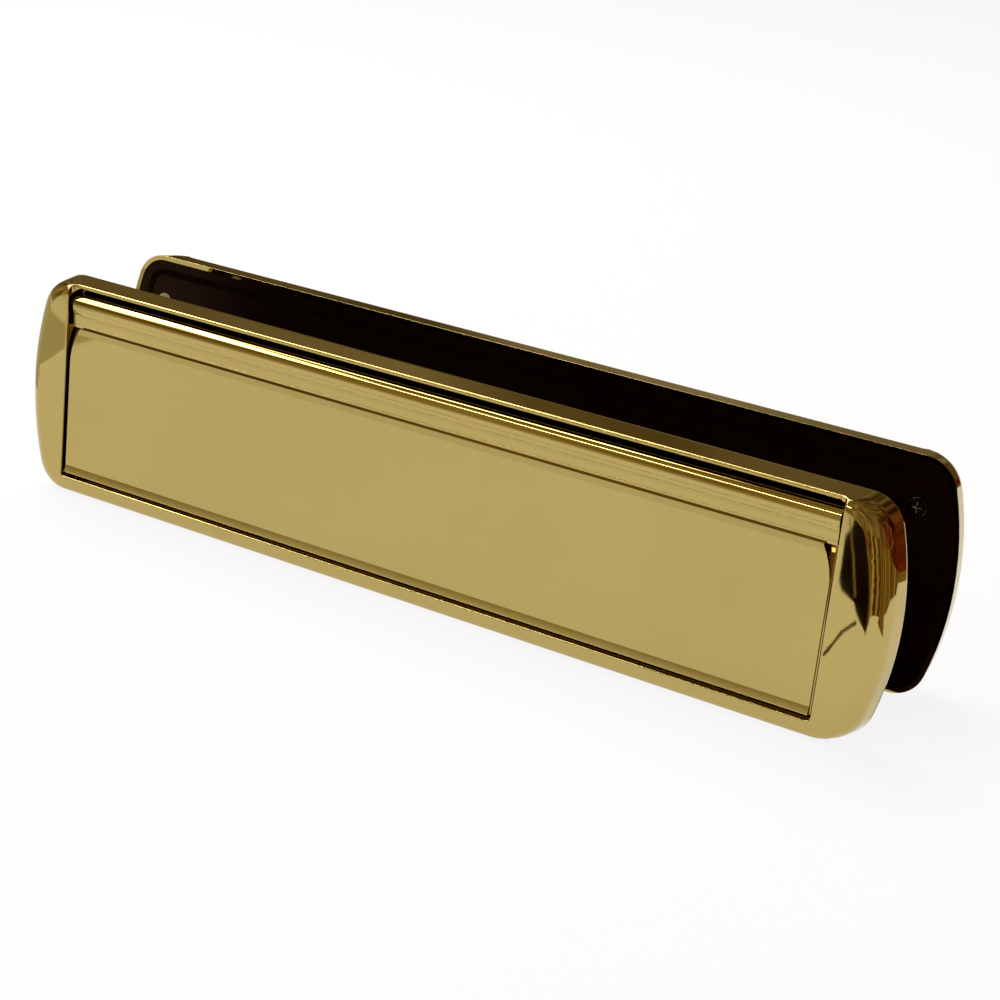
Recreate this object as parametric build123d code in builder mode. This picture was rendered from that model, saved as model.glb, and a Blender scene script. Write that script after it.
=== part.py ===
from build123d import *
import math
import os

# Sleeved letterplate for a front door: a street half, a room half and a liner that telescopes between.
# Millimetres, +Z up. The origin is on the door's outer face, at the middle of the street frame.
# -Y is the street. Each half is drawn on the door face that it lies on, with heights counted out from it.

# Door, and how much thinner a door the liner and the fixings still suit
door_thickness = 40.0
door_thinner_by = 10.0

# Frames: outline at the door face
frame_length = 310.0
outer_frame_height = 72.0
inner_extra_height = 2.0
frame_depth = 12.0
bow_radius = 100.0
corner_radius = 11.0
rim_width = 1.5

# Frames: how far the walls lean in towards the front, and how the front's edges roll over
end_draft = 1.5
top_draft = 1.2
bottom_draft = 0.6
end_round = 6.5
edge_round = 2.5
end_fall = 0.8
roll_steps = 12

# Opening for the flap: what the frame keeps round it
cheek_width = 17.5
top_wall = 2.0
rail_height = 5.75
opening_bottom_round = 1.5
lip_step = 0.5
lip_corner = 2.5

# Back plates and the recess that they lie in
plate_recess = 2.4
plate_sink = 0.3
plate_clearance = 0.2

# Gasket cord in the plate's groove
groove_inset = 3.0
groove_width = 2.0
groove_depth = 1.0
gasket_clearance = 0.1

# Liner
sleeve_groove_gap = 6.1
sleeve_wall = 1.8
sleeve_gap = 0.4
sleeve_bore_corner = 1.2
sleeve_flange = 2.0
sleeve_flange_thickness = 1.2
sleeve_end_gap = 0.5
sleeve_tail = 4.0

# Hinge
pin_radius = 0.9
pin_press = 0.02
running_clearance = 0.05
bush_wall = 1.0
bush_length = 4.0
bush_fit = 0.02
bush_end_gap = 0.3
bush_corner_gap = 0.02
keeper_clearance = 0.1
barrel_wall = 1.05
barrel_sink = 1.35
barrel_top_gap = 2.25
barrel_end_gap = 1.2
barrel_slot_gap = 0.3

# Torsion springs round the pin, in wells in the barrel's ends
spring_wire_radius = 0.2
spring_wire_sides = 8
spring_pin_gap = 0.3
spring_well_gap = 0.35
spring_turns = 18
spring_well_depth = 17.0
spring_end_gap = 0.3

# Flap: depths count from the frame's front plane
flap_side_gap = 0.8
flap_bottom_gap = 1.35
bead_turn = 10.0
bead_drop = 3.3
bead_depth = 2.05
bead_reed = 0.6
reed_height = 1.2
reed_radius = 0.08
band_height = 1.95
band_slope = 0.1
foot_height = 1.15
foot_slope = 0.05
panel_depth = 1.0
panel_lean = 0.06
panel_lean_height = 2.0
panel_side_round = 0.5
panel_corner_round = 4.0
panel_corner_height = 12.0
panel_corner_steps = 5
kick_height = 2.5
kick_out = 0.5
flap_wall = 1.6
flap_rib = 3.7
flap_upper_rib = 4.8
flap_lower_rib = 4.4

# Seal on the web behind the flap
seal_thickness = 1.0
seal_gap = 0.3
seal_edge_gap = 0.7
seal_drop = 5.1

# Screws that hold the plates, placed from the frame's ends, top and bottom
plate_screw_radius = 1.45
plate_screw_hole_clearance = 0.05
plate_screw_skin = 0.2
plate_screw_head_radius = 2.9
plate_screw_head_height = 0.9
plate_screw_head_clearance = 0.4
upper_screw_inset = 15.3
upper_screw_drop = 15.0
lower_screw_inset = 19.0
lower_screw_rise = 12.0
cross_length = 3.2
cross_width = 0.55
cross_depth = 0.5

# Fixings through the door
fixing_drop = 22.37
fixing_wall = 1.2
fixing_screw_radius = 2.0
fixing_screw_clearance = 0.1
fixing_screw_tail = 4.0
fixing_head_radius = 3.6
fixing_head_height = 2.0
spigot_wall = 0.8
spigot_skin = 0.1
spigot_fit = 0.05
pillar_shoulder = 1.1
pillar_collar_step = 0.3
pillar_hole_clearance = 0.3
pillar_end_gap = 1.0
cap_wall = 0.8
cap_head_gap = 0.4
cap_top_gap = 0.2
cap_flap_gap = 0.9
cap_side_gap = 1.2

# Hinge, from the pin outwards
bush_radius = pin_radius + bush_wall
bush_seat_radius = bush_radius + bush_fit
spring_radius = pin_radius + spring_pin_gap + spring_wire_radius
spring_well_radius = spring_radius + spring_wire_radius + spring_well_gap
barrel_radius = spring_well_radius + barrel_wall
hinge_depth = barrel_sink + barrel_radius
hinge_drop = barrel_top_gap + barrel_radius
hinge_out = frame_depth - hinge_depth

# Opening and its depth: the flap's wall, the caps that stand behind it and the web that they stand on
inner_frame_height = outer_frame_height + inner_extra_height
opening_half = frame_length / 2 - cheek_width
opening_width = 2 * opening_half
opening_top = outer_frame_height / 2 - top_wall
opening_bottom = rail_height - outer_frame_height / 2
opening_height = opening_top - opening_bottom
opening_middle = (opening_top + opening_bottom) / 2
opening_top_round = hinge_drop - bush_radius - bush_corner_gap
lip_setback = edge_round + lip_step
cap_radius = fixing_head_radius + cap_head_gap + cap_wall
cap_room = fixing_head_height + cap_top_gap
flap_hollow_depth = panel_depth + flap_wall
opening_depth = flap_hollow_depth + cap_flap_gap + cap_wall + cap_room
web_front = frame_depth - opening_depth

# Flap
hinge_z = opening_top - hinge_drop
barrel_half = opening_half - barrel_end_gap
flap_half = opening_half - flap_side_gap
flap_hollow_half = flap_half - flap_rib
flap_bottom = opening_bottom + flap_bottom_gap
flap_back_depth = opening_depth - seal_thickness - seal_gap
flap_back = frame_depth - flap_back_depth
bead_bottom = hinge_z - bead_drop
band_top = bead_bottom - reed_height
band_bottom = band_top - band_height
band_foot_depth = bead_depth + band_slope
panel_top = band_bottom - foot_height
panel_top_depth = band_foot_depth + foot_slope
hollow_top = panel_top - flap_upper_rib
hollow_bottom = flap_bottom + flap_lower_rib
barrel_slot_half = barrel_half + barrel_slot_gap
barrel_slot_margin = opening_half - barrel_slot_half
barrel_slot_top = opening_top - barrel_slot_margin
barrel_slot_bottom = hinge_z - barrel_radius - barrel_slot_gap
seal_width = flap_rib - seal_edge_gap
seal_top = hinge_z - seal_drop

# Back plates and their screws
plate_thickness = plate_recess - plate_sink
plate_inset = rim_width + plate_clearance
groove_outside = plate_inset + groove_inset
groove_inside = groove_outside + groove_width
screw_head_seat = plate_sink + plate_screw_head_height + plate_clearance
plate_screw_length = web_front - plate_screw_skin - screw_head_seat
plate_screw_hole = plate_screw_radius + plate_screw_hole_clearance
upper_screw_x = frame_length / 2 - upper_screw_inset
upper_screw_z = outer_frame_height / 2 - upper_screw_drop
lower_screw_x = frame_length / 2 - lower_screw_inset
lower_screw_z = lower_screw_rise - outer_frame_height / 2

# Fixings: beside the liner, behind the flap's hollow
thinnest_door = door_thickness - door_thinner_by
screw_hole = fixing_screw_radius + fixing_screw_clearance
spigot_radius = screw_hole + spigot_wall
spigot_length = web_front - plate_recess - spigot_skin
spigot_hole = spigot_radius + spigot_fit
pillar_radius = spigot_radius + pillar_shoulder
pillar_collar_radius = pillar_radius + pillar_collar_step
pillar_hole = pillar_collar_radius + pillar_hole_clearance
pillar_reach = thinnest_door - pillar_end_gap
fixing_screw_reach = thinnest_door + fixing_screw_tail
fixing_x = flap_hollow_half - cap_side_gap - cap_radius
fixing_z = hollow_top - fixing_drop

# Liner: between the fixings, and clear of the gasket
flange_margin = sleeve_flange + plate_clearance
sleeve_width = 2 * (fixing_x - pillar_hole - fixing_wall - flange_margin)
sleeve_height = outer_frame_height - 2 * (groove_inside + sleeve_groove_gap + flange_margin)
sleeve_corner = sleeve_bore_corner + sleeve_wall
sleeve_bore_width = sleeve_width - 2 * sleeve_wall
sleeve_bore_height = sleeve_height - 2 * sleeve_wall
outer_sleeve_reach = thinnest_door - sleeve_end_gap
inner_sleeve_width = sleeve_bore_width - 2 * sleeve_gap
inner_sleeve_height = sleeve_bore_height - 2 * sleeve_gap
inner_sleeve_reach = thinnest_door + sleeve_tail

# The room half is the street half turned about and set on the door's other face
room_side = Location((0, door_thickness, 0), (0, 0, 180))

os.makedirs("parts", exist_ok=True)


def out(height):
    """Plane that faces the street, a height out from the door face; +X right, +Z up."""
    return Plane.XZ.offset(height)


def save(part, name):
    part.label = name
    export_step(part, f"parts/{name}.step")


def bowed_face(half_length, top, bottom, bow, corner):
    """Face with straight top and bottom, bowed ends and rounded corners, in the current sketch."""

    def end_x(z):
        return half_length - bow + math.sqrt(bow**2 - z**2)

    top_right = (end_x(top), top)
    bottom_right = (end_x(bottom), bottom)
    top_left = (-end_x(top), top)
    bottom_left = (-end_x(bottom), bottom)
    with BuildSketch(mode=Mode.PRIVATE) as face:
        with BuildLine():
            Line(top_left, top_right)
            ThreePointArc(top_right, (half_length, 0), bottom_right)
            Line(bottom_right, bottom_left)
            ThreePointArc(bottom_left, (-half_length, 0), top_left)
        make_face()
        fillet(face.vertices(), corner)
    return face.sketch


def door_outline(height, inset):
    """The frame's outline at the door face, drawn in by an inset."""
    half = height / 2 - inset
    return bowed_face(frame_length / 2 - inset, half, -half, bow_radius - inset, corner_radius - inset)


def roll(depth, radius):
    """How far an edge that rolls over to the front plane has drawn in, at a depth behind that plane."""
    if depth >= radius:
        return 0.0
    return radius - math.sqrt(radius**2 - (radius - depth) ** 2)


def frame_outline(height, depth):
    """The frame's outline at a depth behind its front plane."""
    lean = 1 - depth / frame_depth
    edge_roll = roll(depth, edge_round)
    end = end_draft * lean + roll(depth, end_round)
    top = top_draft * lean + edge_roll
    bottom = bottom_draft * lean + edge_roll
    return bowed_face(
        frame_length / 2 - end, height / 2 - top, bottom - height / 2, bow_radius, corner_radius - edge_roll
    )


def across_x(radius, length, mode=Mode.ADD):
    """Round bar along X, about the current location."""
    Cylinder(radius, length, rotation=(0, 90, 0), mode=mode)


def hinge_point(x, out_by=0.0):
    """Point at the hinge's height, out_by beyond its axis, at a place along it."""
    return (x, -hinge_out - out_by, hinge_z)


def screw_places():
    return [
        (-upper_screw_x, upper_screw_z),
        (upper_screw_x, upper_screw_z),
        (-lower_screw_x, lower_screw_z),
        (lower_screw_x, lower_screw_z),
    ]


def fixing_places():
    return [(-fixing_x, fixing_z), (fixing_x, fixing_z)]


def make_frame(height, fixing_hole_radius):
    """Cast frame: drafted bowed shell, flap opening, web with two slots, hinge seats, plate recess."""
    fall_radius = (cheek_width**2 + end_fall**2) / (2 * end_fall)
    fall_angle = math.degrees(math.asin(cheek_width / fall_radius))
    with BuildPart() as frame:
        for depth in (frame_depth, end_round):
            with BuildSketch(out(frame_depth - depth)):
                add(frame_outline(height, depth))
        loft(ruled=True)
        for step in range(roll_steps + 1):
            depth = end_round * (1 - math.sin(step / roll_steps * math.pi / 2))
            with BuildSketch(out(frame_depth - depth)):
                add(frame_outline(height, depth))
        loft()

        # The end faces fall away gently towards the ends
        with BuildSketch(Plane.XY.offset(-height)):
            with BuildLine():
                curve = JernArc((opening_half, -frame_depth), (1, 0), fall_radius, fall_angle)
                Polyline(
                    curve @ 1,
                    (frame_length / 2, -2 * frame_depth),
                    (opening_half, -2 * frame_depth),
                    curve @ 0,
                )
            make_face()
            mirror(about=Plane.YZ)
        extrude(amount=2 * height, mode=Mode.SUBTRACT)

        # Opening for the flap, and the thin top wall set back behind the cheeks
        with BuildSketch(out(web_front)) as opening:
            with Locations((0, opening_middle)):
                Rectangle(opening_width, opening_height)
            fillet(opening.vertices().group_by(Axis.Y)[-1], opening_top_round)
            fillet(opening.vertices().group_by(Axis.Y)[0], opening_bottom_round)
        extrude(amount=frame_depth, mode=Mode.SUBTRACT)
        with BuildSketch(Plane.XY.offset(opening_middle)) as notch:
            with Locations((0, lip_setback - frame_depth)):
                Rectangle(opening_width, frame_depth, align=(Align.CENTER, Align.MAX))
            fillet(notch.vertices().group_by(Axis.Y)[-1], lip_corner)
        extrude(amount=height, mode=Mode.SUBTRACT)

        # Slot in the web for the back of the flap's barrel
        with BuildSketch(out(0)) as barrel_slot:
            with Locations((0, (barrel_slot_top + barrel_slot_bottom) / 2)):
                Rectangle(2 * barrel_slot_half, barrel_slot_top - barrel_slot_bottom)
            fillet(barrel_slot.vertices().group_by(Axis.Y)[-1], opening_top_round - barrel_slot_margin)
        extrude(amount=web_front, mode=Mode.SUBTRACT)

        # Recess for the back plate, letter slot in the web
        with BuildSketch(out(0)):
            add(door_outline(height, rim_width))
        extrude(amount=plate_recess, mode=Mode.SUBTRACT)
        with BuildSketch(out(0)):
            RectangleRounded(sleeve_bore_width, sleeve_bore_height, sleeve_bore_corner)
        extrude(amount=frame_depth, mode=Mode.SUBTRACT)

        # Holes for the plate's screws and for the fixings
        with BuildSketch(out(plate_recess)):
            with Locations(*screw_places()):
                Circle(plate_screw_hole)
        extrude(amount=screw_head_seat + plate_screw_length - plate_recess, mode=Mode.SUBTRACT)
        with BuildSketch(out(plate_recess)):
            with Locations(*fixing_places()):
                Circle(fixing_hole_radius)
        extrude(amount=web_front, mode=Mode.SUBTRACT)

        # Seats for the hinge bushes, open behind for fitting
        seat_depth = hinge_out - plate_recess
        for side in (-1, 1):
            middle = side * (opening_half + bush_length / 2)
            with Locations(hinge_point(middle)):
                across_x(bush_seat_radius, bush_length, mode=Mode.SUBTRACT)
            with Locations(hinge_point(middle, -seat_depth / 2)):
                Box(bush_length, seat_depth, 2 * bush_seat_radius, mode=Mode.SUBTRACT)
    return frame.part


def make_back_plate(height, tube_width, tube_height, fixing_hole_radius):
    """Moulded plate in the frame's back: slot for the liner, gasket groove, sunk screw holes."""
    with BuildPart() as plate:
        with BuildSketch(out(plate_sink)):
            add(door_outline(height, plate_inset))
        extrude(amount=plate_thickness)
        with BuildSketch(out(plate_sink)):
            add(door_outline(height, groove_outside))
            add(door_outline(height, groove_inside), mode=Mode.SUBTRACT)
        extrude(amount=groove_depth, mode=Mode.SUBTRACT)
        with BuildSketch(out(0)):
            slack = 2 * plate_clearance
            RectangleRounded(tube_width + slack, tube_height + slack, sleeve_corner)
        extrude(amount=frame_depth, mode=Mode.SUBTRACT)
        with BuildSketch(out(plate_recess - sleeve_flange_thickness)):
            RectangleRounded(tube_width + 2 * flange_margin, tube_height + 2 * flange_margin, sleeve_corner)
        extrude(amount=frame_depth, mode=Mode.SUBTRACT)
        with BuildSketch(out(0)):
            with Locations(*screw_places()):
                Circle(plate_screw_hole)
            with Locations(*fixing_places()):
                Circle(fixing_hole_radius)
        extrude(amount=frame_depth, mode=Mode.SUBTRACT)
        with BuildSketch(out(0)):
            with Locations(*screw_places()):
                Circle(plate_screw_head_radius + plate_screw_head_clearance)
        extrude(amount=screw_head_seat, mode=Mode.SUBTRACT)
    return plate.part


def make_gasket(height):
    """Cord in the plate's groove, level with the frame's rim."""
    with BuildPart() as gasket:
        with BuildSketch(out(0)):
            add(door_outline(height, groove_outside + gasket_clearance))
            add(door_outline(height, groove_inside - gasket_clearance), mode=Mode.SUBTRACT)
        extrude(amount=plate_sink + groove_depth)
    return gasket.part


def make_plate_screws():
    """Four pan-head screws with cross slots, from the door side into the web."""
    with BuildPart() as screws:
        with BuildSketch(out(screw_head_seat)):
            with Locations(*screw_places()):
                Circle(plate_screw_radius)
        extrude(amount=plate_screw_length)
        with BuildSketch(out(screw_head_seat)):
            with Locations(*screw_places()):
                Circle(plate_screw_head_radius)
        extrude(amount=-plate_screw_head_height)
        with BuildSketch(out(screw_head_seat - plate_screw_head_height)):
            with Locations(*screw_places()):
                Rectangle(cross_length, cross_width)
                Rectangle(cross_width, cross_length)
        extrude(amount=cross_depth, mode=Mode.SUBTRACT)
    return screws.part


def make_sleeve(width, height, reach):
    """Rectangular liner tube with a flange that the back plate traps against the web."""
    with BuildPart() as sleeve:
        with BuildSketch(out(plate_recess)):
            RectangleRounded(width, height, sleeve_corner)
        extrude(amount=-plate_recess - reach)
        with BuildSketch(out(plate_recess)):
            RectangleRounded(width + 2 * sleeve_flange, height + 2 * sleeve_flange, sleeve_corner)
        extrude(amount=-sleeve_flange_thickness)
        with BuildSketch(out(plate_recess)):
            RectangleRounded(width - 2 * sleeve_wall, height - 2 * sleeve_wall, sleeve_bore_corner)
        extrude(amount=-plate_recess - reach, mode=Mode.SUBTRACT)
    return sleeve.part


def make_flap():
    """Cast flap: bead round the hinge, reeded band, panel whose corners fall away, foot kicked out to lift."""

    def at(depth, z):
        return (depth - frame_depth, z)

    turn = math.radians(bead_turn)
    bead_start = at(hinge_depth - barrel_radius * math.cos(turn), hinge_z + barrel_radius * math.sin(turn))
    panel_front = panel_depth - frame_depth

    # What the panel's upright edges lose: a small round from the foot up, which grows towards the top
    corner_bottom = panel_top - panel_corner_height
    rises = [step / panel_corner_steps for step in range(panel_corner_steps + 1)]
    sections = [(flap_bottom, 0.0)] + [(corner_bottom + rise * panel_corner_height, rise) for rise in rises]
    with BuildPart() as side_waste:
        for z, rise in sections:
            radius = panel_side_round + (panel_corner_round - panel_side_round) * rise**2
            with BuildSketch(Plane.XY.offset(z)):
                with BuildLine():
                    Polyline(
                        (flap_half - radius, panel_front),
                        (flap_half - radius, -2 * frame_depth),
                        (opening_half, -2 * frame_depth),
                        (opening_half, panel_front + radius),
                        (flap_half, panel_front + radius),
                    )
                    RadiusArc((flap_half, panel_front + radius), (flap_half - radius, panel_front), -radius)
                make_face()
        loft(ruled=True)
        mirror(about=Plane.YZ)

    with BuildPart() as flap:
        # Panel: its face leans back a little at the top and kicks out at the foot
        with BuildSketch(Plane.YZ):
            with BuildLine():
                lean = TangentArc(
                    at(panel_depth, panel_top - panel_lean_height),
                    at(panel_depth + panel_lean, panel_top),
                    tangent=(0, 1),
                )
                Polyline(
                    lean @ 1,
                    at(flap_back_depth, panel_top),
                    at(flap_back_depth, flap_bottom),
                    at(panel_depth - kick_out, flap_bottom),
                    at(panel_depth, flap_bottom + kick_height),
                    lean @ 0,
                )
            make_face()
        extrude(amount=flap_half, both=True)
        add(side_waste.part, mode=Mode.SUBTRACT)
        with BuildSketch(out(flap_back)):
            with Locations((0, (hollow_top + hollow_bottom) / 2)):
                Rectangle(2 * flap_hollow_half, hollow_top - hollow_bottom)
        extrude(amount=flap_back_depth - flap_hollow_depth, mode=Mode.SUBTRACT)

        # Bead and band, a little shorter than the panel
        with BuildSketch(Plane.YZ):
            with BuildLine():
                bead = TangentArc(bead_start, at(bead_depth, bead_bottom), tangent=(-math.sin(turn), -math.cos(turn)))
                Polyline(
                    bead @ 1,
                    at(bead_depth, band_top),
                    at(band_foot_depth, band_bottom),
                    at(panel_top_depth, panel_top),
                    at(flap_back_depth, panel_top),
                    at(flap_back_depth, hinge_z),
                    bead @ 0,
                )
            make_face()
            with Locations(at(hinge_depth, hinge_z)):
                Circle(barrel_radius)
        extrude(amount=barrel_half, both=True)

        # Fine reed lines on the bead and along the band
        for line in (bead @ bead_reed, bead @ 1, Vector(*at(band_foot_depth, band_bottom))):
            with Locations((0, line.X, line.Y)):
                across_x(reed_radius, opening_width, mode=Mode.SUBTRACT)

        # Bore for the pin, wells for the springs
        with Locations(hinge_point(0)):
            across_x(pin_radius + pin_press, opening_width, mode=Mode.SUBTRACT)
        for side in (-1, 1):
            with Locations(hinge_point(side * (barrel_half - spring_well_depth / 2))):
                across_x(spring_well_radius, spring_well_depth, mode=Mode.SUBTRACT)
    return flap.part


def make_flap_seal():
    """Strip on the web, facing the ribs round the flap's back."""
    half = flap_half - seal_edge_gap
    bottom = flap_bottom + seal_edge_gap
    middle = (seal_top + bottom) / 2
    with BuildPart() as seal:
        with BuildSketch(out(web_front)):
            with Locations((0, middle)):
                Rectangle(2 * half, seal_top - bottom)
                Rectangle(2 * (half - seal_width), seal_top - bottom - 2 * seal_width, mode=Mode.SUBTRACT)
        extrude(amount=seal_thickness)
    return seal.part


def make_hinge_pin():
    with BuildPart() as pin:
        with Locations(hinge_point(0)):
            across_x(pin_radius, 2 * (opening_half + bush_length - keeper_clearance))
    return pin.part


def make_hinge_bushes():
    """Bushes in the cheeks that reach to the barrel's ends."""
    nose = barrel_end_gap - bush_end_gap
    length = nose + bush_length
    with BuildPart() as bushes:
        for side in (-1, 1):
            with Locations(hinge_point(side * (opening_half - nose + length / 2))):
                across_x(bush_radius, length)
                across_x(pin_radius + running_clearance, length, mode=Mode.SUBTRACT)
    return bushes.part


def make_hinge_springs():
    """Torsion springs wound round the pin in the barrel's wells, from the well's floor to the bush."""
    end_room = spring_end_gap + spring_wire_radius
    coil_start = barrel_half - spring_well_depth + end_room
    coil_length = spring_well_depth + bush_end_gap - 2 * end_room
    pitch = coil_length / spring_turns
    with BuildPart() as springs:
        for side in (-1, 1):
            start = hinge_point(side * coil_start)
            with BuildLine():
                coil = Helix(pitch, coil_length, spring_radius, start, (side, 0, 0))
            with BuildSketch(Plane(coil @ 0, z_dir=coil % 0)):
                RegularPolygon(spring_wire_radius, spring_wire_sides)
            sweep()
    return springs.part


def make_hinge_keepers():
    """Blocks behind the bushes, trapped by the back plate."""
    front = hinge_out - bush_radius - keeper_clearance
    thick = front - plate_recess
    wide = bush_length - 2 * keeper_clearance
    tall = 2 * (bush_seat_radius - keeper_clearance)
    with BuildPart() as keepers:
        for side in (-1, 1):
            with Locations((side * (opening_half + bush_length / 2), -plate_recess - thick / 2, hinge_z)):
                Box(wide, thick, tall)
    return keepers.part


def make_fixing_pillars():
    """Threaded pillars on the street half: spigot in the web, collar, bored post through the door."""
    with BuildPart() as pillars:
        with BuildSketch(out(plate_recess)):
            with Locations(*fixing_places()):
                Circle(spigot_radius)
        extrude(amount=spigot_length)
        with BuildSketch(out(plate_recess)):
            with Locations(*fixing_places()):
                Circle(pillar_collar_radius)
        extrude(amount=-plate_recess)
        with BuildSketch(out(0)):
            with Locations(*fixing_places()):
                Circle(pillar_radius)
        extrude(amount=-pillar_reach)
        with BuildSketch(out(frame_depth)):
            with Locations(*fixing_places()):
                Circle(screw_hole)
        extrude(amount=-frame_depth - pillar_reach, mode=Mode.SUBTRACT)
    return pillars.part


def make_fixing_screws():
    """Long screws from the room half's web, with cross-slotted pan heads."""
    with BuildPart() as screws:
        with BuildSketch(out(web_front)):
            with Locations(*fixing_places()):
                Circle(fixing_screw_radius)
        extrude(amount=-web_front - fixing_screw_reach)
        with BuildSketch(out(web_front)):
            with Locations(*fixing_places()):
                Circle(fixing_head_radius)
        extrude(amount=fixing_head_height)
        with BuildSketch(out(web_front + fixing_head_height)):
            with Locations(*fixing_places()):
                Rectangle(cross_length, cross_width)
                Rectangle(cross_width, cross_length)
        extrude(amount=-cross_depth, mode=Mode.SUBTRACT)
    return screws.part


def make_screw_caps():
    """Cups over the long screws' heads."""
    with BuildPart() as caps:
        with BuildSketch(out(web_front)):
            with Locations(*fixing_places()):
                Circle(cap_radius)
        extrude(amount=cap_room + cap_wall)
        with BuildSketch(out(web_front)):
            with Locations(*fixing_places()):
                Circle(cap_radius - cap_wall)
        extrude(amount=cap_room, mode=Mode.SUBTRACT)
    return caps.part


# Street half
save(make_frame(outer_frame_height, spigot_hole), "outer_frame")
save(make_back_plate(outer_frame_height, sleeve_width, sleeve_height, pillar_hole), "outer_back_plate")
save(make_gasket(outer_frame_height), "outer_gasket")
save(make_sleeve(sleeve_width, sleeve_height, outer_sleeve_reach), "outer_sleeve")
save(make_fixing_pillars(), "fixing_pillars")

# Room half
inner_frame = make_frame(inner_frame_height, screw_hole)
inner_plate = make_back_plate(inner_frame_height, inner_sleeve_width, inner_sleeve_height, screw_hole)
inner_sleeve = make_sleeve(inner_sleeve_width, inner_sleeve_height, inner_sleeve_reach)
save(room_side * inner_frame, "inner_frame")
save(room_side * inner_plate, "inner_back_plate")
save(room_side * make_gasket(inner_frame_height), "inner_gasket")
save(room_side * inner_sleeve, "inner_sleeve")
save(room_side * make_fixing_screws(), "fixing_screws")
save(room_side * make_screw_caps(), "screw_caps")

# Pieces that both halves have
twins = {
    "plate_screws": make_plate_screws(),
    "flap": make_flap(),
    "flap_seal": make_flap_seal(),
    "hinge_pin": make_hinge_pin(),
    "hinge_bushes": make_hinge_bushes(),
    "hinge_springs": make_hinge_springs(),
    "hinge_keepers": make_hinge_keepers(),
}
for name, twin in twins.items():
    save(twin, f"outer_{name}")
    save(room_side * twin, f"inner_{name}")
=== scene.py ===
import bpy
from mathutils import Matrix, Vector


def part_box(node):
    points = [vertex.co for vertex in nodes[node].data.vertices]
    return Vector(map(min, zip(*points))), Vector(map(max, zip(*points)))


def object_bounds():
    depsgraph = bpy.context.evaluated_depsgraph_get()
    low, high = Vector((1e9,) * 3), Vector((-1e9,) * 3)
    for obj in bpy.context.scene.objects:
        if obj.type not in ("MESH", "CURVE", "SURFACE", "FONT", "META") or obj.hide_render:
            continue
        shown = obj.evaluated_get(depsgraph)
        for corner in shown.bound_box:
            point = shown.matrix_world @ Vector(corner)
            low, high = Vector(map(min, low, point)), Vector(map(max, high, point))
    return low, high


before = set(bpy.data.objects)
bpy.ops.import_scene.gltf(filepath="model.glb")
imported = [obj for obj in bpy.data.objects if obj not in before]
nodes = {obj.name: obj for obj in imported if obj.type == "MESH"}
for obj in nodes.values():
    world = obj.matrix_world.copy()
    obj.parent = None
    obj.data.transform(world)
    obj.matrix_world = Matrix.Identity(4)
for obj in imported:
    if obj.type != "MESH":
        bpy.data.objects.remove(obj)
cad_low, cad_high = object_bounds()
scene = bpy.context.scene

# Noise mostly stays between these two values
noise_low = 0.3
noise_high = 0.7

# Eased edges, in metres
frame_edge_radius = 0.0008
flap_edge_radius = 0.0003
flap_eased_height = 0.0012
flap_ease_fade = 0.001
moulding_edge_radius = 0.00015
steel_edge_radius = 0.0001
rim_tolerance = 0.00005
edge_samples = 8

# Relief in the surfaces, in metres
frame_wave = 0.00005
flap_wave = 0.00003
pit_depth = 0.00002
moulding_grain = 0.00003
steel_grain = 0.00002

# Floor
floor_half = 6.0
floor_drop = 0.0002
floor_glow_share = 0.88

lamp_white = (1.0, 0.99, 0.97)


# Node trees
def new_material(name, kind="ShaderNodeBsdfPrincipled"):
    """Material with one shader, by default a Principled one, and its output."""
    material = bpy.data.materials.new(name)
    material.use_nodes = True
    tree = material.node_tree
    tree.nodes.clear()
    shader = tree.nodes.new(kind)
    output = tree.nodes.new("ShaderNodeOutputMaterial")
    tree.links.new(shader.outputs[0], output.inputs["Surface"])
    return material, tree, shader


def set_inputs(node, values):
    """Set a node's inputs by name."""
    for name, value in values.items():
        node.inputs[name].default_value = value


def place(tree, stretch=(1, 1, 1)):
    """The object's own coordinates, in metres, stretched."""
    coordinates = tree.nodes.new("ShaderNodeTexCoord")
    mapping = tree.nodes.new("ShaderNodeMapping")
    set_inputs(mapping, {"Scale": stretch})
    tree.links.new(coordinates.outputs["Object"], mapping.inputs["Vector"])
    return mapping.outputs["Vector"]


def split(tree, vector):
    """A vector's X, Y and Z as outputs."""
    node = tree.nodes.new("ShaderNodeSeparateXYZ")
    tree.links.new(vector, node.inputs["Vector"])
    return node.outputs


def noise(tree, vector, scale, detail=3.0, roughness=0.5, distortion=0.0):
    """Cloudy values along a vector."""
    texture = tree.nodes.new("ShaderNodeTexNoise")
    set_inputs(texture, {"Scale": scale, "Detail": detail, "Roughness": roughness, "Distortion": distortion})
    tree.links.new(vector, texture.inputs["Vector"])
    return texture.outputs["Fac"]


def ramp(tree, fac, stops):
    """Colour ramp through (position, colour) stops."""
    node = tree.nodes.new("ShaderNodeValToRGB")
    elements = node.color_ramp.elements
    while len(elements) < len(stops):
        elements.new(0.5)
    for element, (position, colour) in zip(elements, stops):
        element.position = position
        element.color = (*colour, 1.0)
    tree.links.new(fac, node.inputs["Fac"])
    return node.outputs["Color"]


def two_tone(tree, fac, dark, light):
    """Noise turned into a drift between two tones."""
    return ramp(tree, fac, [(noise_low, dark), (noise_high, light)])


def span(tree, value, low, high, from_low, from_high):
    """A value carried from one range to another, clamped."""
    node = tree.nodes.new("ShaderNodeMapRange")
    set_inputs(node, {"From Min": from_low, "From Max": from_high, "To Min": low, "To Max": high})
    tree.links.new(value, node.inputs["Value"])
    return node.outputs["Result"]


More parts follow.
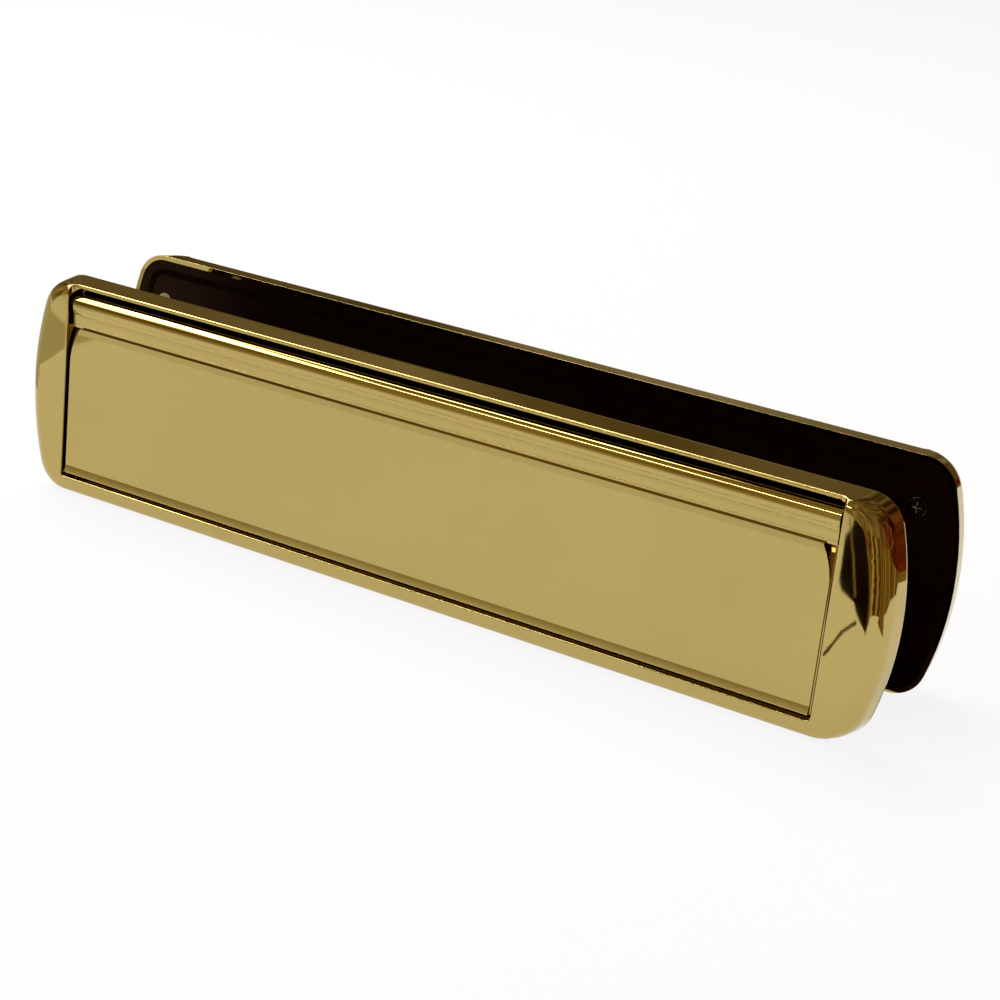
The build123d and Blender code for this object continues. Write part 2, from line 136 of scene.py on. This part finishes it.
def calculate(tree, operation, *values):
    """Maths on sockets and plain numbers."""
    node = tree.nodes.new("ShaderNodeMath")
    node.operation = operation
    for socket, value in zip(node.inputs, values):
        if isinstance(value, bpy.types.NodeSocket):
            tree.links.new(value, socket)
        else:
            socket.default_value = value
    return node.outputs["Value"]


def mixed(tree, kind, factor, first, second):
    """Mix of two sockets of a kind, VECTOR or RGBA."""
    node = tree.nodes.new("ShaderNodeMix")
    node.data_type = kind
    tree.links.new(factor, node.inputs["Factor"])
    tree.links.new(first, node.inputs["A"])
    tree.links.new(second, node.inputs["B"])
    return node.outputs["Result"]


def bump(tree, height, strength, distance, normal):
    """Normal shaken by a height, over another normal."""
    node = tree.nodes.new("ShaderNodeBump")
    set_inputs(node, {"Strength": strength, "Distance": distance})
    tree.links.new(height, node.inputs["Height"])
    tree.links.new(normal, node.inputs["Normal"])
    return node.outputs["Normal"]


def eased(tree, radius):
    """Normal that rounds every edge by a small radius."""
    node = tree.nodes.new("ShaderNodeBevel")
    node.samples = edge_samples
    node.inputs["Radius"].default_value = radius
    return node.outputs["Normal"]


def eased_casting(tree, radius, below, flat_rims):
    """Eased edges of a casting: only those below a height, if given, and none on its flat rims."""
    axes = split(tree, place(tree))
    geometry = tree.nodes.new("ShaderNodeNewGeometry")
    sharp = [calculate(tree, "COMPARE", axes["Y"], level, rim_tolerance) for level in flat_rims]
    if below is not None:
        sharp.append(span(tree, axes["Z"], 0.0, 1.0, below - flap_ease_fade, below))
    normal = eased(tree, radius)
    for factor in sharp:
        normal = mixed(tree, "VECTOR", factor, normal, geometry.outputs["Normal"])
    return normal


# Materials
def gold(name, dark, light, roughness, wave, edge_radius, below=None, flat_rims=()):
    """Polished gold plate on a casting: smear in the gloss, faint tone shifts, a slow wave in the surface."""
    material, tree, shader = new_material(name)
    tone = noise(tree, place(tree), scale=22.0, detail=4.0, roughness=0.55)
    smear = noise(tree, place(tree, (1, 1, 2.5)), scale=60.0, detail=6.0, roughness=0.6, distortion=0.4)
    swell = noise(tree, place(tree, (0.6, 1, 1)), scale=28.0, detail=1.0, roughness=0.3)
    pits = noise(tree, place(tree), scale=2600.0, detail=2.0)
    normal = eased_casting(tree, edge_radius, below, flat_rims)
    normal = bump(tree, swell, strength=1.0, distance=wave, normal=normal)
    normal = bump(tree, pits, strength=0.05, distance=pit_depth, normal=normal)
    tree.links.new(two_tone(tree, tone, dark, light), shader.inputs["Base Color"])
    tree.links.new(span(tree, smear, *roughness, noise_low, noise_high), shader.inputs["Roughness"])
    tree.links.new(normal, shader.inputs["Normal"])
    set_inputs(shader, {"Metallic": 1.0})
    return material


def moulding(name, dark, light, roughness, specular, gloss=(1.0, 1.0, 1.0)):
    """Moulded plastic or rubber with a fine grain."""
    material, tree, shader = new_material(name)
    tone = noise(tree, place(tree), scale=90.0, detail=4.0, roughness=0.6)
    smear = noise(tree, place(tree), scale=40.0)
    grain = noise(tree, place(tree), scale=3200.0, detail=2.0)
    normal = eased(tree, moulding_edge_radius)
    normal = bump(tree, grain, strength=0.25, distance=moulding_grain, normal=normal)
    tree.links.new(two_tone(tree, tone, dark, light), shader.inputs["Base Color"])
    tree.links.new(span(tree, smear, *roughness, noise_low, noise_high), shader.inputs["Roughness"])
    tree.links.new(normal, shader.inputs["Normal"])
    # Specular Tint colours the reflections; the brown given for the plate and rubber is a painted reflection
    # colour
    set_inputs(shader, {"Specular IOR Level": specular, "Specular Tint": (*gloss, 1.0)})
    return material


def steel(name, dark, light, roughness):
    """Turned and plated steel with a fine grain."""
    material, tree, shader = new_material(name)
    tone = noise(tree, place(tree), scale=400.0, detail=4.0, roughness=0.6)
    smear = noise(tree, place(tree), scale=700.0)
    grain = noise(tree, place(tree), scale=5000.0, detail=2.0)
    normal = eased(tree, steel_edge_radius)
    normal = bump(tree, grain, strength=0.1, distance=steel_grain, normal=normal)
    tree.links.new(two_tone(tree, tone, dark, light), shader.inputs["Base Color"])
    tree.links.new(span(tree, smear, *roughness, noise_low, noise_high), shader.inputs["Roughness"])
    tree.links.new(normal, shader.inputs["Normal"])
    set_inputs(shader, {"Metallic": 1.0})
    return material


frame_gold = gold(
    "frame_gold",
    dark=(0.46, 0.350, 0.120),
    light=(0.50, 0.380, 0.130),
    roughness=(0.02, 0.05),
    wave=frame_wave,
    edge_radius=frame_edge_radius,
    flat_rims=(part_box("outer_frame")[1][1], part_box("inner_frame")[0][1]),
)
flap_gold = gold(
    "flap_gold",
    dark=(0.455, 0.345, 0.118),
    light=(0.485, 0.370, 0.127),
    roughness=(0.035, 0.07),
    wave=flap_wave,
    edge_radius=flap_edge_radius,
    below=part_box("outer_flap")[0][2] + flap_eased_height,
)
# Brown specular tint for the plate and rubber: a painted reflection colour that turns the white floor's
# reflection brown
painted_brown_reflection_tint = (1.0, 0.42, 0.12)
plate_plastic = moulding(
    "plate_plastic",
    dark=(0.0050, 0.0014, 0.0006),
    light=(0.0070, 0.0021, 0.0010),
    roughness=(0.28, 0.38),
    specular=0.14,
    gloss=painted_brown_reflection_tint,
)
rubber = moulding(
    "rubber",
    dark=(0.0040, 0.0012, 0.0006),
    light=(0.0056, 0.0018, 0.0010),
    roughness=(0.55, 0.70),
    specular=0.02,
    gloss=painted_brown_reflection_tint,
)
nylon = moulding("nylon", (0.014, 0.010, 0.008), (0.022, 0.016, 0.013), roughness=(0.40, 0.50), specular=0.3)
plated_steel = steel("plated_steel", (0.50, 0.49, 0.47), (0.62, 0.61, 0.58), roughness=(0.22, 0.34))
spring_steel = steel("spring_steel", (0.30, 0.29, 0.28), (0.40, 0.39, 0.37), roughness=(0.25, 0.35))
screw_black = steel("screw_black", (0.30, 0.24, 0.16), (0.42, 0.34, 0.23), roughness=(0.14, 0.24))

finishes = {
    "frame": frame_gold,
    "flap": flap_gold,
    "back_plate": plate_plastic,
    "sleeve": plate_plastic,
    "gasket": rubber,
    "flap_seal": rubber,
    "plate_screws": screw_black,
    "hinge_pin": plated_steel,
    "hinge_bushes": nylon,
    "hinge_springs": spring_steel,
    "hinge_keepers": nylon,
    "fixing_pillars": plated_steel,
    "fixing_screws": plated_steel,
    "screw_caps": nylon,
}
for name, node in nodes.items():
    kind = name.removeprefix("outer_").removeprefix("inner_")
    for slot in node.material_slots:
        slot.material = finishes[kind]


# Staging
def flat_mesh(name, corners, material):
    """One face through the corners, in the scene."""
    mesh = bpy.data.meshes.new(name)
    mesh.from_pydata(corners, [], [tuple(range(len(corners)))])
    mesh.materials.append(material)
    sheet = bpy.data.objects.new(name, mesh)
    scene.collection.objects.link(sheet)
    return sheet


def make_floor():
    """Sheet that the object stands on: it keeps the shadow, and looks white to the camera and the metal."""
    material, tree, shader = new_material("floor_paper")
    set_inputs(shader, {"Base Color": (0.86, 0.86, 0.86, 1.0), "Roughness": 0.9, "Specular IOR Level": 0.1})
    glow = tree.nodes.new("ShaderNodeEmission")
    set_inputs(glow, {"Color": (1.0, 1.0, 1.0, 1.0), "Strength": 1.0})
    path = tree.nodes.new("ShaderNodeLightPath")
    seen = calculate(tree, "MAXIMUM", path.outputs["Is Camera Ray"], path.outputs["Is Glossy Ray"])
    seen = calculate(tree, "MAXIMUM", seen, path.outputs["Is Transmission Ray"])
    mix = tree.nodes.new("ShaderNodeMixShader")
    tree.links.new(calculate(tree, "MULTIPLY", seen, floor_glow_share), mix.inputs[0])
    tree.links.new(shader.outputs["BSDF"], mix.inputs[1])
    tree.links.new(glow.outputs["Emission"], mix.inputs[2])
    tree.links.new(mix.outputs["Shader"], tree.nodes["Material Output"].inputs["Surface"])
    half = floor_half
    corners = [(-half, -half, 0), (half, -half, 0), (half, half, 0), (-half, half, 0)]
    floor = flat_mesh("floor", corners, material)
    floor.location.z = cad_low[2] - floor_drop


def glowing_sheet(name, corners):
    """Sheet that only the polished metal sees; gives its glow, still to be painted. Corners in metres."""
    material, _, glow = new_material(name, "ShaderNodeEmission")
    sheet = flat_mesh(name, corners, material)
    sheet.visible_camera = False
    sheet.visible_diffuse = False
    sheet.visible_shadow = False
    return glow


def card(name, points, height, paint):
    """Sheet just above the floor, with points and height in millimetres."""
    level = cad_low[2] + height / 1000
    glow = glowing_sheet(name, [(x / 1000, y / 1000, level) for x, y in points])
    tree = glow.id_data
    tree.links.new(paint(tree), glow.inputs["Color"])


def mottled(dark, light):
    """Paint that drifts between two tones."""

    def paint(tree):
        return ramp(tree, noise(tree, place(tree), scale=6.0), [(0.35, dark), (0.65, light)])

    return paint


def fading(near_tone, far_tone, near_edge, far_edge):
    """Paint that goes from one tone to another between two places along Y, in millimetres."""

    def paint(tree):
        away = span(tree, split(tree, place(tree))["Y"], 0.0, 1.0, near_edge / 1000, far_edge / 1000)
        return ramp(tree, away, [(0.0, near_tone), (1.0, far_tone)])

    return paint


def streaked(stops, centre):
    """Paint in streaks that run out from a point on the floor, in millimetres."""

    def paint(tree):
        mapping = tree.nodes.new("ShaderNodeMapping")
        set_inputs(mapping, {"Location": (-centre[0] / 1000, -centre[1] / 1000, 0.0)})
        tree.links.new(place(tree), mapping.inputs["Vector"])
        bearing = tree.nodes.new("ShaderNodeTexGradient")
        bearing.gradient_type = "RADIAL"
        tree.links.new(mapping.outputs["Vector"], bearing.inputs["Vector"])
        streak = tree.nodes.new("ShaderNodeTexNoise")
        streak.noise_dimensions = "1D"
        set_inputs(streak, {"Scale": 42.0, "Detail": 2.0, "Roughness": 0.6})
        tree.links.new(bearing.outputs["Fac"], streak.inputs["W"])
        return ramp(tree, streak.outputs["Fac"], stops)

    return paint


def make_table():
    """Brown table beyond the white sheet, in front and at both sides; points in millimetres."""
    far = 6500
    sheet_front = -172
    sheet_left = -255
    brown_front = -330
    card(
        "table_front",
        [(-far, -far), (far, -far), (far, sheet_front), (-far, sheet_front)],
        0.4,
        fading((0.975, 0.97, 0.96), (0.38, 0.30, 0.12), sheet_front, brown_front),
    )
    card(
        "table_left",
        [(-far, sheet_front), (sheet_left, sheet_front), (sheet_left, far), (-far, far)],
        0.5,
        mottled((0.56, 0.54, 0.42), (0.68, 0.66, 0.52)),
    )
    sheet_right = [
        (90, -250), (135, -101), (160, -108), (215, -118), (260, -84), (242, -10), (290, -30),
        (342, 30), (318, 100), (285, 210),
    ]
    browns = [
        (0.30, (0.05, 0.025, 0.005)),
        (0.45, (0.20, 0.11, 0.02)),
        (0.58, (0.30, 0.19, 0.04)),
        (0.72, (0.55, 0.44, 0.22)),
    ]
    card(
        "table_right",
        sheet_right + [(285, far), (far, far), (far, -far), (90, -far)],
        0.6,
        streaked(browns, centre=(150, 0)),
    )
    card(
        "red_right",
        [(330, 190), (420, 235), (600, 250), (2000, 480), (far, far), (330, far)],
        1.0,
        mottled((0.03, 0.007, 0.002), (0.17, 0.028, 0.006)),
    )


def make_flags():
    """Dark flags that draw the right cheek's form, and shade between the frames; points in millimetres."""
    flag_right = [(131, -100), (137, -100), (123, -134), (108, -171), (93, -205), (80, -235), (66, -235)]
    flag_left = [(79, -197), (78, -186), (87, -162), (95, -140), (100, -132), (112, -126), (118, -116)]
    card("flag_front", flag_right + flag_left, 0.8, mottled((0.008, 0.004, 0.002), (0.024, 0.013, 0.005)))
    slit_width = 1.6
    slit_left = [(71, -207), (77.3, -195), (93.6, -166.6), (110.2, -131)]
    slit_right = [(x + slit_width, y) for x, y in reversed(slit_left)]
    card("flag_slit", slit_left + slit_right, 0.9, mottled((0.26, 0.19, 0.06), (0.36, 0.27, 0.10)))
    tail_right = [(119, -111), (121, -108), (117, -97), (116.4, -84), (117, -74)]
    tail_left = [(115.6, -74), (114.8, -84), (115, -98)]
    card("flag_tail", tail_right + tail_left, 0.9, mottled((0.10, 0.07, 0.02), (0.16, 0.11, 0.04)))
    card(
        "shade_between",
        [(40, -8), (142, -8), (145, 3), (148, 12), (158, 18), (158, 39), (40, 39)],
        0.3,
        mottled((0.010, 0.004, 0.002), (0.020, 0.009, 0.004)),
    )


def make_window():
    """Bright window at the left that only the polished metal sees; lengths in metres."""
    away = -1.3
    front = -1.2
    back = 0.3
    sill = 0.95
    top = 1.75
    corners = [(away, front, sill), (away, back, sill), (away, back, top), (away, front, top)]
    glow = glowing_sheet("window_left", corners)
    set_inputs(glow, {"Color": (*lamp_white, 1.0), "Strength": 6.0})


def make_room():
    """Brown walls with upright streaks: lighter at the left, darker behind, red behind at the right."""
    world = bpy.data.worlds.new("room")
    scene.world = world
    world.use_nodes = True
    tree = world.node_tree
    view = tree.nodes.new("ShaderNodeTexCoord").outputs["Generated"]
    mapping = tree.nodes.new("ShaderNodeMapping")
    set_inputs(mapping, {"Scale": (1.0, 1.0, 0.15)})
    tree.links.new(view, mapping.inputs["Vector"])
    streaks = noise(tree, mapping.outputs["Vector"], scale=7.0, detail=1.5)
    browns = [(0.32, (0.08, 0.045, 0.012)), (0.50, (0.27, 0.19, 0.07)), (0.68, (0.48, 0.38, 0.19))]
    reds = [(0.36, (0.06, 0.012, 0.003)), (0.50, (0.30, 0.040, 0.010)), (0.66, (0.56, 0.15, 0.035))]
    toward_red = tree.nodes.new("ShaderNodeVectorMath")
    toward_red.operation = "DOT_PRODUCT"
    toward_red.inputs[1].default_value = (0.85, 0.53, 0.0)
    tree.links.new(view, toward_red.inputs[0])
    red_share = span(tree, toward_red.outputs["Value"], 0.0, 0.85, from_low=0.45, from_high=0.9)
    shade = mixed(tree, "RGBA", red_share, ramp(tree, streaks, browns), ramp(tree, streaks, reds))
    axes = split(tree, view)
    darker_right = span(tree, axes["X"], 1.25, 0.70, from_low=-0.8, from_high=0.8)
    darker_behind = span(tree, axes["Y"], 1.0, 0.50, from_low=-0.1, from_high=0.6)
    for factor in (darker_right, darker_behind):
        dimmed = tree.nodes.new("ShaderNodeVectorMath")
        dimmed.operation = "SCALE"
        tree.links.new(shade, dimmed.inputs[0])
        tree.links.new(factor, dimmed.inputs["Scale"])
        shade = dimmed.outputs["Vector"]
    background = tree.nodes["Background"]
    tree.links.new(shade, background.inputs["Color"])
    background.inputs["Strength"].default_value = 1.0


def soft_box(name, spot, size, power):
    """Rectangular lamp aimed at the object's middle; lengths in metres, power in watts."""
    data = bpy.data.lights.new(name, "AREA")
    data.shape = "RECTANGLE"
    data.size, data.size_y = size
    data.energy = power
    data.color = lamp_white
    lamp = bpy.data.objects.new(name, data)
    lamp.location = spot
    lamp.rotation_euler = (-Vector(spot)).to_track_quat("-Z", "Y").to_euler()
    scene.collection.objects.link(lamp)


make_floor()
make_table()
make_flags()
make_window()
make_room()
soft_box("key", spot=(-0.9, 0.5, 1.6), size=(1.2, 1.0), power=28.0)
soft_box("side", spot=(-1.39, -0.10, 1.44), size=(1.4, 0.42), power=13.0)
soft_box("strip", spot=(-1.2, -1.9, 1.60), size=(2.6, 0.12), power=16.0)

# Camera at the photograph's viewing angle
camera_data = bpy.data.cameras.new("camera")
camera_data.sensor_fit = "HORIZONTAL"
camera_data.sensor_width = 36.0
camera_data.lens = 80.82
camera_data.clip_start = 0.01
camera = bpy.data.objects.new("camera", camera_data)
camera_spot = (0.33913, -0.55587, 0.22019)
right = Vector((0.84751, 0.52037, 0.10458))
up = Vector((-0.25449, 0.22548, 0.94042))
back = Vector((0.46579, -0.82363, 0.32352))
turn = Matrix((right, up, back)).transposed().to_4x4()
camera.matrix_world = Matrix.Translation(camera_spot) @ turn
scene.collection.objects.link(camera)
scene.camera = camera

scene.view_settings.view_transform = "Standard"
